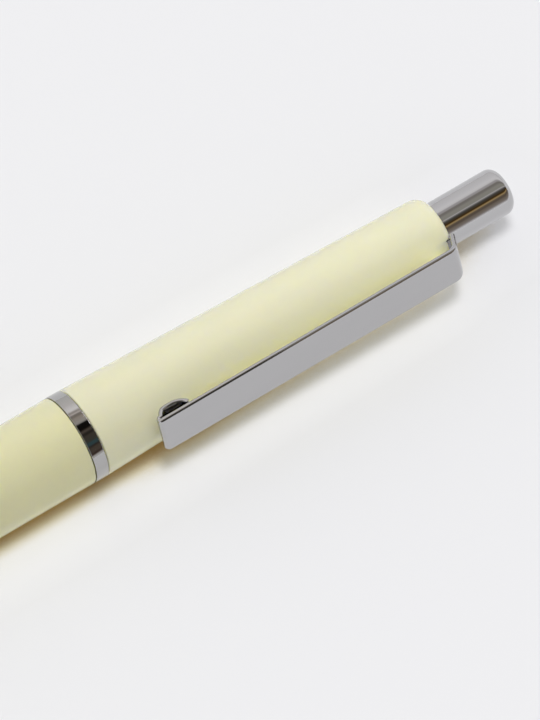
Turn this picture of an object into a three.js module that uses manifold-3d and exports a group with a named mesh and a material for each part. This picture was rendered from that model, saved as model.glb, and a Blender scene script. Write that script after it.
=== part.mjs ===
// Pushbutton ballpoint pen, built as it comes apart on a bench.
// Millimetres, +Z up. The pen lies along X on the plane z = 0, point towards -X and button
// towards +X, with the clip rolled a little above the horizontal on the -Y side. The origin is
// under the middle of the pen's box. Inside this file x counts from the front of the nose cone.

import * as THREE from 'three';
import { mergeVertices } from 'three/addons/utils/BufferGeometryUtils.js';
import Module from 'manifold-3d';

const wasm = await Module();
wasm.setup();

// Outside lengths along the pen
const noseLength = 16;
const lowerLength = 62;
const lowerStraight = 44;
const ringLength = 1.6;
const seam = 0.08;
const upperLength = 47.8;
const shoulderLength = 1.6;
const buttonReach = 9.42;
const edgeRound = 0.15;
const noseSpigotLength = 5.5;

// Outside radii
const nosePointRadius = 1.75;
const lowerFrontRadius = 4.75;
const barrelRadius = 5.46;
const ringRadius = 5.5;
const upperEndRadius = 4.1;
const buttonRadius = 2.856;
const noseSpigotRadius = lowerFrontRadius - 1;
const noseCurve = 1.5;

// Clip
const clipRoll = THREE.MathUtils.degToRad(19.5);
const clipLength = 40.72;
const clipWidth = 4.74;
const clipHeight = 6.94;
const clipThickness = 0.58;
const clipCorner = 0.65;
const clipRootInset = 0.52;
const clipRootBend = 1.3;
const clipFootBend = 0.34;
const clipLegLean = 0.85;
const clipLegWidth = 3.5;
const clipFootWidth = 1.9;
const clipFootLength = 1.6;
const clipFootRoom = 0.2;
const loopLength = 4.35;
const loopBend = 0.32;
const loopFold = 250;
// The loop's underside: shares of its length and of its depth. Its end stops short of the arm.
const loopShape = [[0.28, 0.92], [0.46, 1], [0.68, 0.99], [0.89, 0.8]];
const loopEndShare = 0.97;
const loopFacets = 8;

// Refill and spring
const refillRadius = 2.95;
const tubeWall = 0.25;
const tubeFrontWall = 0.5;
const tipSetback = 0.9;
const tipRadius = 1.15;
const tipLength = 10;
const tipConeLength = 2.4;
const tipStemRadius = 0.85;
const tipStemLength = 2;
const inkChannelRadius = 0.3;
const ballRadius = 0.5;
const socketGap = 0.06;
const socketLipWall = 0.08;
const socketLipShare = 0.6;
const nozzleRadius = 1.5;
const nozzleLength = 3.2;
const nozzlePlugLength = 3.4;
const inkLength = 46;
const followerLength = 3;
const plugDepth = 5;
const plugHeadLength = 4;
const plugVentRadius = 0.45;
const plugSlotWidth = 0.8;
const plugSlotDepth = 1.6;
const springWire = 0.34;
const springRadius = 2;
const springCurls = 8;

// Push mechanism
const stroke = 5.8;
const buttonWall = 0.3;
const buttonEdge = 1.25;
const buttonDome = 0.12;
const buttonFlange = 0.6;
const buttonFlatShare = 0.55;
const bushLength = 7.7;
const bushWall = 0.44;
const lipThickness = 1.1;
const coreReach = 5.6;
const ribHeight = 0.45;
const ribLength = 2.4;
const splineLength = 3;
const ribAngle = THREE.MathUtils.degToRad(16);
const guideAngle = THREE.MathUtils.degToRad(20);
const guideCount = 4;
const toothCount = 8;
const toothHeight = 0.8;
const rotorLength = 5.5;
const rotorBoreRadius = 1.15;
const pilotLength = 3.6;
const sleeveWall = 0.6;

// Barrel joint
const couplerWall = 0.8;
const couplerDepth = 10;
const threadLead = 1;
const threadPitch = 1;
const threadHeight = 0.3;
const threadTurns = 5;
const threadFootShare = 0.36;
const threadCrestShare = 0.12;

// Clearances
const pressGap = 0.05;
const runGap = 0.15;
const threadGap = 0.12;
const seatGap = 0.2;
const turnGap = 0.3;
const couplerGap = 0.35;

// Facets
const outerSides = 36;
const innerSides = 24;
const smallSides = 16;
const arcSteps = 6;
const edgeSteps = 2;
const sectorSteps = 3;
const coilSteps = 8;
const wireSides = 5;

const full = Math.PI * 2;
const beyond = 1;
const weldReach = 1e-5;

// Stations of the outside, front to rear
const lowerFront = noseLength;
const lowerRear = lowerFront + lowerLength;
const ringFront = lowerRear + seam;
const ringRear = ringFront + ringLength;
const upperFront = ringRear + seam;
const upperRear = upperFront + upperLength;
const buttonEnd = upperRear + buttonReach;

// Stations of the mechanism, rear to front
const lipFront = upperRear - lipThickness;
const bushRear = lipFront - pressGap;
const bushFront = bushRear - bushLength;
const flangeRear = bushFront - seatGap;
const flangeFront = flangeRear - buttonFlange;
const sleeveRear = flangeFront - stroke - turnGap;
const boreStep = sleeveRear + pressGap;
const coreCrest = sleeveRear - coreReach;
const coreRoot = coreCrest + toothHeight;
const rotorCrest = coreCrest - turnGap;
const rotorRoot = rotorCrest - toothHeight;
const rotorFront = rotorRoot - rotorLength;
const rotorRibFront = rotorRoot - ribLength;
const sleeveFront = rotorRibFront - stroke - seatGap;
const refillRear = rotorFront - seatGap;

// The rotor turns half a guide pitch over the stroke. Its ribs leave the guides before that turn
// brings them to the guides' sides.
const rotorTurn = full / guideCount / 2;
const freeTurn = rotorTurn - (guideAngle + ribAngle) / 2;
const guideFront = rotorRoot - stroke * freeTurn / rotorTurn + turnGap;

// Stations of the refill, front to rear
const ballCentre = tipSetback + ballRadius;
const tipRear = tipSetback + tipLength;
const tubeFront = tipRear + nozzleLength;
const tubeRear = refillRear - plugHeadLength;
const nozzleRear = tubeFront + tubeFrontWall + nozzlePlugLength;
const inkFront = nozzleRear + seatGap;
const inkRear = inkFront + inkLength;

// Room in the nose cone: it clears the refill's shoulders with the point fully out
const springSeat = tipRear - stroke - turnGap;
const refillRoomFront = tubeFront - stroke - turnGap;

// Radii of the mechanism, inside to outside
const coreRadius = buttonRadius - buttonWall - pressGap;
const guideRadius = coreRadius + runGap;
const ribRadius = guideRadius + ribHeight;
const sleeveBore = ribRadius + runGap;
const sleeveRadius = sleeveBore + sleeveWall;
const mechanismBore = sleeveRadius + pressGap;
const bushBore = buttonRadius + runGap;
const bushRadius = bushBore + bushWall;
const bushSeat = bushRadius + pressGap;
const flangeRadius = bushSeat - runGap;
const mouthRadius = buttonRadius + runGap;

// Radii of the barrel joint and the refill's room
const couplerBore = refillRadius + couplerGap;
const couplerRadius = couplerBore + couplerWall;
const lowerBore = couplerRadius + pressGap;
const threadRoot = couplerRadius - threadHeight;
const threadCrest = couplerRadius;
const tubeBore = refillRadius - tubeWall;
const refillRoom = refillRadius + runGap;
const tipRoom = tipRadius + runGap;
const springRoom = springRadius + springWire / 2 + runGap;

// Geometry helpers

function weld(geometry) {
  const plain = geometry.clone();
  plain.deleteAttribute('normal');
  plain.deleteAttribute('uv');
  const welded = mergeVertices(plain, weldReach);
  const corners = welded.index.array;
  const kept = [];
  for (let i = 0; i < corners.length; i += 3) {
    const [a, b, c] = corners.slice(i, i + 3);
    if (a !== b && b !== c && c !== a) kept.push(a, b, c);
  }
  welded.setIndex(kept);
  if (signedVolume(welded) < 0) {
    for (let i = 0; i < kept.length; i += 3) [kept[i], kept[i + 1]] = [kept[i + 1], kept[i]];
    welded.setIndex(kept);
  }
  return welded;
}

function signedVolume(geometry) {
  const place = geometry.attributes.position;
  const corners = geometry.index.array;
  const [a, b, c] = [new THREE.Vector3(), new THREE.Vector3(), new THREE.Vector3()];
  let sum = 0;
  for (let i = 0; i < corners.length; i += 3) {
    a.fromBufferAttribute(place, corners[i]);
    b.fromBufferAttribute(place, corners[i + 1]);
    c.fromBufferAttribute(place, corners[i + 2]);
    sum += a.dot(b.cross(c)) / 6;
  }
  return sum;
}

function toManifold(geometry) {
  const welded = weld(geometry);
  return new wasm.Manifold(new wasm.Mesh({
    numProp: 3,
    vertProperties: new Float32Array(welded.attributes.position.array),
    triVerts: new Uint32Array(welded.index.array),
  }));
}

function fromManifold(solid) {
  const mesh = solid.getMesh();
  const geometry = new THREE.BufferGeometry();
  geometry.setAttribute('position', new THREE.BufferAttribute(new Float32Array(mesh.vertProperties), 3));
  geometry.setIndex(new THREE.BufferAttribute(new Uint32Array(mesh.triVerts), 1));
  return geometry;
}

function cut(geometry, ...tools) {
  return fromManifold(tools.reduce((solid, tool) => solid.subtract(toManifold(tool)), toManifold(geometry)));
}

function join(geometry, ...others) {
  return fromManifold(others.reduce((solid, other) => solid.add(toManifold(other)), toManifold(geometry)));
}

function common(geometry, other) {
  return fromManifold(toManifold(geometry).intersect(toManifold(other)));
}

// Turns an outline of [x, radius] points about the X axis. An outline that starts and ends on the
// axis gives a solid, any other is closed into a ring. A flat faces straight down.
function turned(outline, sides) {
  const points = outline.map(([x, radius]) => new THREE.Vector2(radius, x));
  const onAxis = outline[0][1] === 0 && outline.at(-1)[1] === 0;
  if (!onAxis) points.push(points[0].clone());
  const lathe = new THREE.LatheGeometry(points, sides, Math.PI / sides, full);
  return weld(lathe.rotateZ(-Math.PI / 2));
}

// A ring from x0 to x1 between two radii.
function ring(x0, x1, inner, outer, sides) {
  return turned([[x0, inner], [x0, outer], [x1, outer], [x1, inner]], sides);
}

// A solid rod from x0 to x1.
function rod(x0, x1, radius, sides) {
  return turned([[x0, 0], [x0, radius], [x1, radius], [x1, 0]], sides);
}

// Points of a quarter round in an outline, from one [x, radius] point to the other. The corner
// that it rounds is the one at the first point's x and the second point's radius, or the reverse.
function quarter(from, to, startsAlongX, steps) {
  const points = [];
  for (let i = 0; i <= steps; i += 1) {
    const angle = Math.PI / 2 * i / steps;
    const early = Math.sin(angle);
    const late = 1 - Math.cos(angle);
    const [alongX, alongR] = startsAlongX ? [early, late] : [late, early];
    points.push([from[0] + (to[0] - from[0]) * alongX, from[1] + (to[1] - from[1]) * alongR]);
  }
  return points;
}

// A block that sticks out along a ray from the axis: `angle` turns it about X from straight down
// the +Y side, x0 to x1 along the pen, between two heights from the axis and half a width each way.
function key(angle, x0, x1, low, high, width) {
  const block = new THREE.BoxGeometry(x1 - x0, high - low, width);
  return block.translate((x0 + x1) / 2, (low + high) / 2, 0).rotateX(angle);
}

// A sector of a ring about X, between two radii and centred on an angle.
function sector(angle, spread, x0, x1, inner, outer) {
  const shape = new THREE.Shape();
  shape.absarc(0, 0, outer, angle - spread / 2, angle + spread / 2, false);
  shape.absarc(0, 0, inner, angle + spread / 2, angle - spread / 2, true);
  const body = new THREE.ExtrudeGeometry(shape, { depth: x1 - x0, bevelEnabled: false, curveSegments: sectorSteps });
  return weld(body.rotateX(Math.PI / 2).rotateZ(Math.PI / 2).translate(x0, 0, 0));
}

// A ring of V teeth about X. It fills x0 to root, and its teeth rise from root to crest.
function crown(x0, root, crest, inner, outer, phase) {
  const steps = toothCount * 2;
  const place = [];
  const corners = [];
  for (let i = 0; i < steps; i += 1) {
    const angle = phase + full * i / steps;
    const face = i % 2 ? root : crest;
    for (const [x, radius] of [[x0, inner], [x0, outer], [face, outer], [face, inner]]) {
      place.push(x, radius * Math.cos(angle), radius * Math.sin(angle));
    }
    const here = i * 4;
    const next = ((i + 1) % steps) * 4;
    for (let side = 0; side < 4; side += 1) {
      const after = (side + 1) % 4;
      corners.push(here + side, here + after, next + after, here + side, next + after, next + side);
    }
  }
  const geometry = new THREE.BufferGeometry();
  geometry.setAttribute('position', new THREE.Float32BufferAttribute(place, 3));
  geometry.setIndex(corners);
  return weld(geometry);
}

// A closed tube of flat-ended sections, each a list of [x, y, z] points in the same order.
function loft(sections) {
  const size = sections[0].length;
  const corners = [];
  for (let i = 0; i + 1 < sections.length; i += 1) {
    for (let side = 0; side < size; side += 1) {
      const after = (side + 1) % size;
      const here = i * size;
      const next = here + size;
      corners.push(here + side, here + after, next + after, here + side, next + after, next + side);
    }
  }
  const last = (sections.length - 1) * size;
  for (let side = 1; side + 1 < size; side += 1) {
    corners.push(0, side + 1, side, last, last + side, last + side + 1);
  }
  const geometry = new THREE.BufferGeometry();
  geometry.setAttribute('position', new THREE.Float32BufferAttribute(sections.flat(2), 3));
  geometry.setIndex(corners);
  return weld(geometry);
}

// A right-hand thread ridge about X with a trapezoid section. `grow` widens it on every side.
function threadRidge(x0, turns, root, crest, grow) {
  const footHalf = threadPitch * threadFootShare + grow;
  const crestHalf = threadPitch * threadCrestShare + grow;
  const sunk = threadHeight / 3;
  const steps = Math.round(turns * innerSides);
  const sections = [];
  for (let i = 0; i <= steps; i += 1) {
    const angle = full * i / innerSides;
    const middle = x0 + threadPitch * angle / full;
    const outline = [
      [middle - footHalf, root - sunk],
      [middle - crestHalf, crest + grow],
      [middle + crestHalf, crest + grow],
      [middle + footHalf, root - sunk],
    ];
    sections.push(outline.map(([x, radius]) => [x, radius * Math.cos(angle), radius * Math.sin(angle)]));
  }
  return loft(sections);
}

// Outside radius of the upper barrel, without its shoulder.
function upperRadiusAt(x) {
  const along = (x - upperFront) / (upperLength - shoulderLength);
  return THREE.MathUtils.lerp(barrelRadius, upperEndRadius, Math.min(along, 1));
}

// Materials

const ivory = new THREE.MeshStandardMaterial({ color: 0xe9e6c9, roughness: 0.22, metalness: 0 });
const chrome = new THREE.MeshStandardMaterial({ color: 0xc4c4c8, roughness: 0.1, metalness: 1 });
const brass = new THREE.MeshStandardMaterial({ color: 0xc9a45c, roughness: 0.3, metalness: 1 });
const steel = new THREE.MeshStandardMaterial({ color: 0x9c9ca0, roughness: 0.3, metalness: 1 });
const carbide = new THREE.MeshStandardMaterial({ color: 0x6a6a70, roughness: 0.2, metalness: 1 });
const blackPlastic = new THREE.MeshStandardMaterial({ color: 0x1c1c1e, roughness: 0.4, metalness: 0 });
const whitePlastic = new THREE.MeshStandardMaterial({ color: 0xe8e8e4, roughness: 0.45, metalness: 0 });
const ink = new THREE.MeshStandardMaterial({ color: 0x14205e, roughness: 0.3, metalness: 0 });
const grease = new THREE.MeshStandardMaterial({ color: 0xd8cf9a, roughness: 0.3, metalness: 0 });

const pen = new THREE.Group();

function place(name, geometry, material) {
  const mesh = new THREE.Mesh(geometry, material);
  mesh.name = name;
  pen.add(mesh);
  return mesh;
}

// Nose cone: a convex cone with a bored point, a spring seat and a spigot for the lower barrel

function makeNoseCone() {
  const outline = [[0, tipRoom]];
  for (let i = 0; i <= arcSteps * 2; i += 1) {
    const along = i / (arcSteps * 2);
    const rise = 1 - (1 - along) ** noseCurve;
    outline.push([noseLength * along, THREE.MathUtils.lerp(nosePointRadius, lowerFrontRadius, rise)]);
  }
  outline.push([noseLength, noseSpigotRadius]);
  outline.push([noseLength + noseSpigotLength, noseSpigotRadius]);
  outline.push([noseLength + noseSpigotLength, refillRoom]);
  outline.push([refillRoomFront, refillRoom]);
  outline.push([refillRoomFront, springRoom]);
  outline.push([springSeat, springRoom]);
  outline.push([springSeat, tipRoom]);
  return turned(outline, outerSides);
}

// Lower barrel: straight at the rear, tapering to the nose cone

function makeLowerBarrel() {
  const spigotRoomRear = lowerFront + noseSpigotLength + seatGap;
  return turned([
    [lowerFront, noseSpigotRadius + pressGap],
    [lowerFront, lowerFrontRadius],
    [lowerRear - lowerStraight, barrelRadius],
    [lowerRear - edgeRound, barrelRadius],
    ...quarter([lowerRear - edgeRound, barrelRadius], [lowerRear, barrelRadius - edgeRound], true, edgeSteps).slice(1),
    [lowerRear, lowerBore],
    [spigotRoomRear, lowerBore],
    [spigotRoomRear, noseSpigotRadius + pressGap],
  ], outerSides);
}

// Centre ring, loose on the coupler between the two barrels

function makeCentreRing() {
  const edge = edgeRound / 2;
  const inner = couplerRadius + runGap;
  return turned([
    [ringFront, inner],
    [ringFront, ringRadius - edge],
    [ringFront + edge, ringRadius],
    [ringRear - edge, ringRadius],
    [ringRear, ringRadius - edge],
    [ringRear, inner],
  ], outerSides);
}

// Barrel coupler: pressed into the lower barrel, threaded behind the ring

const threadFront = upperFront + threadLead;
const threadLength = (threadTurns + 1) * threadPitch;
const couplerRear = threadFront + threadLength;

function makeCoupler() {
  const neck = upperFront + seatGap;
  const body = turned([
    [lowerRear - couplerDepth, couplerBore],
    [lowerRear - couplerDepth, couplerRadius],
    [neck, couplerRadius],
    [neck, threadRoot],
    [couplerRear, threadRoot],
    [couplerRear, couplerBore],
  ], innerSides);
  return join(body, threadRidge(threadFront + threadPitch / 2, threadTurns, threadRoot, threadCrest, 0));
}

// Upper barrel: tapered, with a rounded shoulder, a threaded front, the cam sleeve's bore, the
// bush's bore, the lip round the mouth, and a keyway and notch for the clip's foot

function makeUpperBarrel() {
  const shoulderFront = upperRear - shoulderLength;
  const threadRoomFront = upperFront + seatGap * 2;
  const threadRoomRear = couplerRear + seatGap;
  const body = turned([
    [upperFront, couplerRadius + runGap],
    [upperFront, barrelRadius - edgeRound],
    ...quarter([upperFront, barrelRadius - edgeRound], [upperFront + edgeRound, barrelRadius], false, edgeSteps).slice(1),
    [shoulderFront, upperEndRadius],
    ...quarter([shoulderFront, upperEndRadius], [upperRear, mouthRadius], true, arcSteps).slice(1),
    [lipFront, mouthRadius],
    [lipFront, bushSeat],
    [boreStep, bushSeat],
    [boreStep, mechanismBore],
    [threadRoomRear, mechanismBore],
    [threadRoomRear, threadRoot + threadGap],
    [threadRoomFront, threadRoot + threadGap],
    [threadRoomFront, couplerRadius + runGap],
  ], outerSides);
  const grooveFront = threadFront + threadPitch / 2 - Math.ceil((threadFront - upperFront) / threadPitch + 1) * threadPitch;
  const grooveTurns = (threadRoomRear - grooveFront) / threadPitch;
  const groove = threadRidge(grooveFront, grooveTurns, threadRoot, threadCrest, threadGap);
  const keyway = key(clipTurn, footFront - seatGap, upperRear + beyond, 0, footOuter + clipFootRoom, footSlotWidth);
  const notch = key(clipTurn, upperRear - clipThickness - seatGap, upperRear + beyond, 0, upperEndRadius, footSlotWidth);
  return cut(body, groove, keyway, notch);
}

// Clip: one strip, from the foot inside the mouth up the leg, over the root bend, along the arm
// and back under itself in the loop. Its own X is the pen's, its own Y points away from the axis.

const clipTurn = Math.PI - clipRoll;
const footInner = bushBore + pressGap;
const footOuter = footInner + clipThickness;
const footFront = upperRear - clipLegLean - clipFootLength;
const footSlotWidth = clipFootWidth + 2 * runGap;
const clipRootRear = upperRear - clipRootInset;
const clipTip = clipRootRear - clipLength;

// Points of an arc, centre and angles in degrees, in the clip's own side view.
function arcPoints(x, y, radius, from, to, steps) {
  const points = [];
  for (let i = 0; i <= steps; i += 1) {
    const angle = THREE.MathUtils.degToRad(THREE.MathUtils.lerp(from, to, i / steps));
    points.push(new THREE.Vector2(x + radius * Math.cos(angle), y + radius * Math.sin(angle)));
  }
  return points;
}

function makeClip() {
  const half = clipThickness / 2;
  const armLevel = clipHeight - half;
  const footLevel = footInner + half;
  const rootX = clipRootRear - half - clipRootBend;
  const footX = clipRootRear - half + clipLegLean - clipFootBend;
  const loopSeat = upperRadiusAt(clipTip + loopLength / 2) + pressGap;
  const depth = armLevel - half - loopSeat;
  const foldDepth = 2 * loopBend;
  // The straight leg is the tangent of the two bends.
  const legRise = armLevel - clipRootBend - footLevel - clipFootBend;
  const legRun = footX - rootX;
  const tilt = Math.acos((clipRootBend - clipFootBend) / Math.hypot(legRun, legRise)) - Math.atan2(legRise, legRun);
  const lean = THREE.MathUtils.radToDeg(tilt);
  const loop = new THREE.SplineCurve([
    new THREE.Vector2(clipTip + half + loopBend, armLevel - foldDepth),
    ...loopShape.map(([along, down]) => new THREE.Vector2(clipTip + loopLength * along, armLevel - depth * down)),
    new THREE.Vector2(clipTip + loopLength, armLevel - clipThickness * loopEndShare),
  ]);
  const loopPoints = loop.getPoints(arcSteps * 2).slice(1);
  const line = [
    new THREE.Vector2(footFront, footLevel),
    ...arcPoints(footX, footLevel + clipFootBend, clipFootBend, -90, lean, arcSteps),
    ...arcPoints(rootX, armLevel - clipRootBend, clipRootBend, lean, 90, arcSteps),
    ...arcPoints(clipTip + half + loopBend, armLevel - loopBend, loopBend, 90, loopFold, arcSteps),
    ...loopPoints,
  ];

  // Sections of the strip. Below the fold they curve across, to follow the barrel.
  const across = Array.from({ length: loopFacets + 1 }, (_, i) => clipWidth * (i / loopFacets - 0.5));
  const strip = loft(line.map((point, i) => {
    const before = line[Math.max(i - 1, 0)];
    const after = line[Math.min(i + 1, line.length - 1)];
    const along = after.clone().sub(before).normalize();
    const belowFold = (armLevel - foldDepth - point.y) / (depth - foldDepth);
    const curved = i < line.length - loopPoints.length ? 0 : THREE.MathUtils.clamp(belowFold, 0, 1);
    const face = (way) => across.map((w) => [
      point.x - half * way * along.y,
      point.y + half * way * along.x - curved * (loopSeat - Math.sqrt(loopSeat ** 2 - w ** 2)),
      w,
    ]);
    return [...face(1), ...face(-1).reverse()];
  }));

  // Seen from above the strip has rounded corners at the tip.
  const halfWidth = clipWidth / 2;
  const plan = new THREE.Shape();
  plan.moveTo(upperRear + beyond, -halfWidth);
  plan.lineTo(upperRear + beyond, halfWidth);
  plan.lineTo(clipTip + clipCorner, halfWidth);
  plan.absarc(clipTip + clipCorner, halfWidth - clipCorner, clipCorner, Math.PI / 2, Math.PI, false);
  plan.absarc(clipTip + clipCorner, clipCorner - halfWidth, clipCorner, Math.PI, Math.PI * 1.5, false);
  const planBody = new THREE.ExtrudeGeometry(plan, { depth: clipHeight + beyond, bevelEnabled: false, curveSegments: arcSteps });
  planBody.rotateX(-Math.PI / 2);

  // Seen from the rear the leg narrows, and steps in to the foot at the barrel's rim.
  const legTop = armLevel - clipCorner;
  const legEnd = footOuter + runGap;
  const front = new THREE.Shape();
  front.moveTo(-halfWidth - beyond, legTop + clipCorner);
  front.lineTo(-halfWidth, legTop + clipCorner);
  front.lineTo(-halfWidth + clipCorner / 2, legTop - clipCorner);
  front.lineTo(-clipLegWidth / 2, legEnd);
  front.lineTo(-clipFootWidth / 2, legEnd);
  front.lineTo(-clipFootWidth / 2, 0);
  front.lineTo(-halfWidth - beyond, 0);
  front.closePath();
  const legReach = upperRear + beyond - (footFront - beyond);
  const waste = new THREE.ExtrudeGeometry(front, { depth: legReach, bevelEnabled: false });
  waste.rotateY(Math.PI / 2).translate(footFront - beyond, 0, 0);
  const otherWaste = waste.clone().rotateX(Math.PI).scale(1, -1, 1);
  return cut(common(strip, planBody), waste, otherWaste);
}

// Mouth bush, slotted for the clip's foot

function makeMouthBush() {
  const body = ring(bushFront, bushRear, bushBore, bushRadius, outerSides);
  return cut(body, key(clipTurn, footFront - seatGap, upperRear, 0, clipHeight, footSlotWidth));
}

// Push button: a drawn shell with a rounded end, closed outside and flanged inside

function makePushButton() {
  const inner = buttonRadius - buttonWall;
  const roundFront = buttonEnd - buttonEdge;
  const flat = buttonRadius - buttonEdge;
  return turned([
    [roundFront, 0],
    [roundFront, inner],
    [flangeFront, inner],
    [flangeFront, flangeRadius],
    [flangeRear, flangeRadius],
    [flangeRear, buttonRadius],
    [roundFront - buttonDome, buttonRadius],
    ...quarter([roundFront - buttonDome, buttonRadius], [buttonEnd - buttonDome, flat], true, arcSteps).slice(1),
    [buttonEnd, flat * buttonFlatShare],
    [buttonEnd, 0],
  ], outerSides);
}

// Button core: fills the shell, with splines in the sleeve's slots, thrust teeth and a pilot pin

function makeButtonCore() {
  const coreRear = buttonEnd - buttonEdge - seatGap;
  const body = rod(coreRoot, coreRear, coreRadius, innerSides);
  const teeth = crown(coreRoot + beyond, coreRoot, coreCrest, rotorBoreRadius + runGap, coreRadius - pressGap, 0);
  const pilot = rod(coreCrest - pilotLength, coreRoot + beyond, rotorBoreRadius - runGap, innerSides);
  return join(body, teeth, pilot, ...ribs(coreRoot + turnGap, coreRoot + turnGap + splineLength));
}

// Four ribs in the middle of the sleeve's slots
function ribs(x0, x1) {
  return slotAngles().map((angle) => sector(angle, ribAngle, x0, x1, coreRadius - ribHeight, ribRadius));
}

function slotAngles() {
  return Array.from({ length: guideCount }, (_, i) => full * (i + 0.5) / guideCount);
}

// Cam sleeve: a tube with guide ribs behind a clear front

function makeCamSleeve() {
  const tube = ring(sleeveFront, sleeveRear, sleeveBore, sleeveRadius, innerSides);
  const guides = Array.from({ length: guideCount }, (_, i) => {
    const angle = full * i / guideCount;
    return sector(angle, guideAngle, guideFront, sleeveRear, guideRadius, sleeveBore + sleeveWall / 2);
  });
  return join(tube, ...guides);
}

// Cam rotor: a bored cylinder with ribs and crown teeth

function makeCamRotor() {
  const body = ring(rotorFront, rotorRoot, rotorBoreRadius, coreRadius, innerSides);
  const teeth = crown(rotorRoot - beyond, rotorRoot, rotorCrest, rotorBoreRadius + runGap, coreRadius - pressGap, 0);
  return join(body, teeth, ...ribs(rotorRibFront, rotorRoot));
}

// Refill

function makeRefillTube() {
  return turned([
    [tubeFront, nozzleRadius + pressGap],
    [tubeFront, springRadius + springWire],
    [tubeFront + tubeFrontWall, refillRadius],
    [tubeRear, refillRadius],
    [tubeRear, tubeBore],
    [tubeFront + tubeFrontWall, tubeBore],
    [tubeFront + tubeFrontWall, nozzleRadius + pressGap],
  ], innerSides);
}

function makeNozzle() {
  const shoulder = tubeFront + tubeFrontWall + pressGap;
  return turned([
    [tipRear + pressGap, tipStemRadius + pressGap],
    [tipRear + pressGap, nozzleRadius],
    [shoulder, nozzleRadius],
    [shoulder, tubeBore - pressGap],
    [nozzleRear, tubeBore - pressGap],
    [nozzleRear, inkChannelRadius],
    [tipRear + tipStemLength + pressGap, inkChannelRadius],
    [tipRear + tipStemLength + pressGap, tipStemRadius + pressGap],
  ], smallSides);
}

function makeWritingTip() {
  const socketRadius = ballRadius + socketGap;
  const lipReach = ballRadius * socketLipShare;
  const lipAngle = Math.acos(lipReach / socketRadius);
  const socket = [];
  for (let i = 0; i <= arcSteps; i += 1) {
    const angle = THREE.MathUtils.lerp(lipAngle, Math.PI - Math.asin(inkChannelRadius / socketRadius), i / arcSteps);
    socket.push([ballCentre - socketRadius * Math.cos(angle), socketRadius * Math.sin(angle)]);
  }
  const lip = socket[0];
  return turned([
    ...socket.reverse(),
    [lip[0], lip[1] + socketLipWall],
    [tipSetback + tipConeLength, tipRadius],
    [tipRear, tipRadius],
    [tipRear, tipStemRadius],
    [tipRear + tipStemLength, tipStemRadius],
    [tipRear + tipStemLength, inkChannelRadius],
  ], smallSides);
}

function makeWritingBall() {
  const ball = new THREE.SphereGeometry(ballRadius, smallSides, arcSteps * 2);
  return weld(ball.translate(ballCentre, 0, 0));
}

function makeRefillPlug() {
  const body = turned([
    [tubeRear - plugDepth, plugVentRadius],
    [tubeRear - plugDepth, tubeBore - pressGap],
    [tubeRear, tubeBore - pressGap],
    [tubeRear, refillRadius],
    [refillRear, refillRadius],
    [refillRear, plugVentRadius],
  ], innerSides);
  const slots = [0, 1].map((i) => new THREE.BoxGeometry(plugSlotDepth * 2, plugSlotWidth, refillRadius * 3)
    .translate(refillRear, 0, 0)
    .rotateX(Math.PI / 2 * i));
  return cut(body, ...slots);
}

// Return spring: one unbroken wire between the nose cone's seat and the refill's front wall

function makeReturnSpring() {
  const x0 = springSeat + springWire / 2 + pressGap;
  const x1 = tubeFront - springWire / 2 - pressGap;
  const steps = springCurls * coilSteps;
  const sections = [];
  const middles = [];
  for (let i = 0; i <= steps; i += 1) {
    const angle = full * i / coilSteps;
    const x = THREE.MathUtils.lerp(x0, x1, i / steps);
    middles.push(new THREE.Vector3(x, springRadius * Math.cos(angle), springRadius * Math.sin(angle)));
    sections.push(Array.from({ length: wireSides }, (_, side) => {
      const around = full * side / wireSides;
      const radius = springRadius + springWire / 2 * Math.cos(around);
      return [x + springWire / 2 * Math.sin(around), radius * Math.cos(angle), radius * Math.sin(angle)];
    }));
  }
  let leastGap = Infinity;
  middles.forEach((here, i) => middles.slice(i + coilSteps / 2).forEach((there) => {
    leastGap = Math.min(leastGap, here.distanceTo(there) - springWire);
  }));
  console.log(`return spring: least gap to itself ${leastGap.toFixed(2)} mm`);
  return loft(sections);
}

place('nose_cone', makeNoseCone(), chrome);
place('lower_barrel', makeLowerBarrel(), ivory);
place('centre_ring', makeCentreRing(), chrome);
place('barrel_coupler', makeCoupler(), blackPlastic);
place('upper_barrel', makeUpperBarrel(), ivory);
place('clip', makeClip(), chrome).rotation.x = clipTurn;
place('mouth_bush', makeMouthBush(), brass);
place('push_button', makePushButton(), chrome);
place('button_core', makeButtonCore(), blackPlastic);
place('cam_sleeve', makeCamSleeve(), whitePlastic);
place('cam_rotor', makeCamRotor(), whitePlastic);
place('refill_tube', makeRefillTube(), steel);
place('refill_nozzle', makeNozzle(), brass);
place('writing_tip', makeWritingTip(), steel);
place('writing_ball', makeWritingBall(), carbide);
place('ink_column', rod(inkFront, inkRear, tubeBore - pressGap, innerSides), ink);
place('ink_follower', rod(inkRear + pressGap, inkRear + followerLength, tubeBore - pressGap, innerSides), grease);
place('refill_plug', makeRefillPlug(), whitePlastic);
place('return_spring', makeReturnSpring(), steel);

// Set the pen on the plane z = 0 with the origin under the middle of its box.
const box = new THREE.Box3().setFromObject(pen, true);
const middle = box.getCenter(new THREE.Vector3());
pen.position.set(-middle.x, -middle.y, -box.min.z);

export default pen;
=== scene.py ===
# Pushbutton ballpoint pen: outer skins, finishes, floor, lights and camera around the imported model.
# Lengths whose names or comments say mm are in millimetres. Blender's own units are metres.
# The pen lies along X, point towards -X, and its clip is on the -Y side.

import math

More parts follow.
